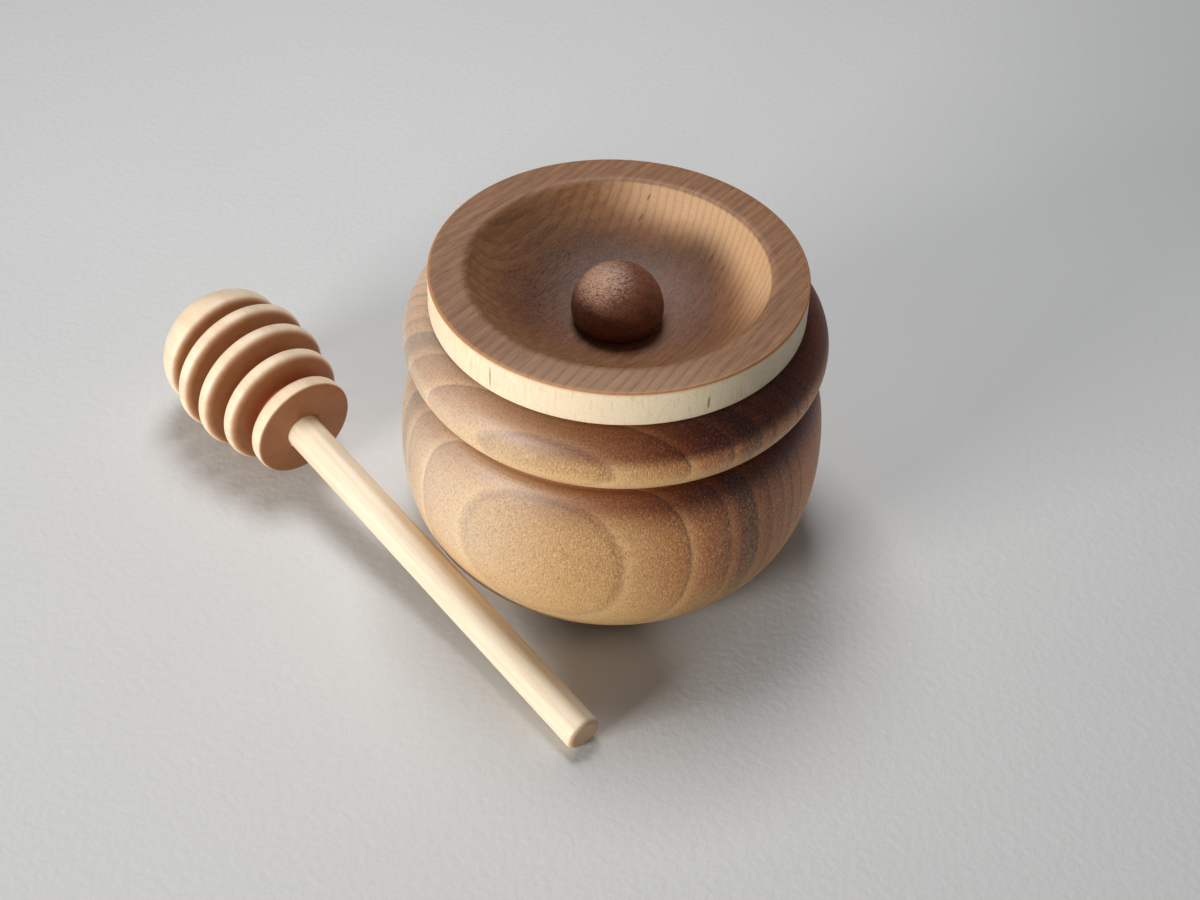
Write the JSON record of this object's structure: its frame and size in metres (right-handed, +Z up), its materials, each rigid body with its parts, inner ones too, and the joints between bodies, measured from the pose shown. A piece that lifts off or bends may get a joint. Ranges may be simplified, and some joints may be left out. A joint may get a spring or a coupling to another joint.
{
  "type": "honey pot with lid and dipper",
  "caption": "Small turned wooden pot with a beaded rim, a loose lid with a dished top and a knob, and a ringed wooden dipper lying beside it.",
  "frame": {"origin": "centre of the flat underside that the pot stands on", "axes": "+Z up along the pot's turning axis; the dipper lies to the left and in front, towards -X and -Y"},
  "size_m": [0.1176, 0.0913, 0.055],
  "materials": {
    "pot_wood": "turned and oiled solid wood, satin",
    "lid_wood": "turned and oiled solid wood, satin",
    "knob_wood": "turned and oiled solid wood, satin",
    "head_wood": "turned bare wood, sanded",
    "stick_wood": "bare dowel, sanded"
  },
  "bodies": {
    "pot": {"pot": "pot_wood"},
    "lid": {"lid": "lid_wood", "knob": "knob_wood"},
    "dipper": {"dipper_head": "head_wood", "dipper_stick": "stick_wood"}
  },
  "joints": [
    {"name": "lid_lift", "type": "slide", "parent": "pot", "child": "lid", "axis": [0, 0, 1], "range_m": [0, 0.06]},
    {"name": "dipper_lift", "type": "slide", "parent": "pot", "child": "dipper", "axis": [-0.528, -0.4704, 0.7071], "range_m": [0, 0.1]}
  ]
}
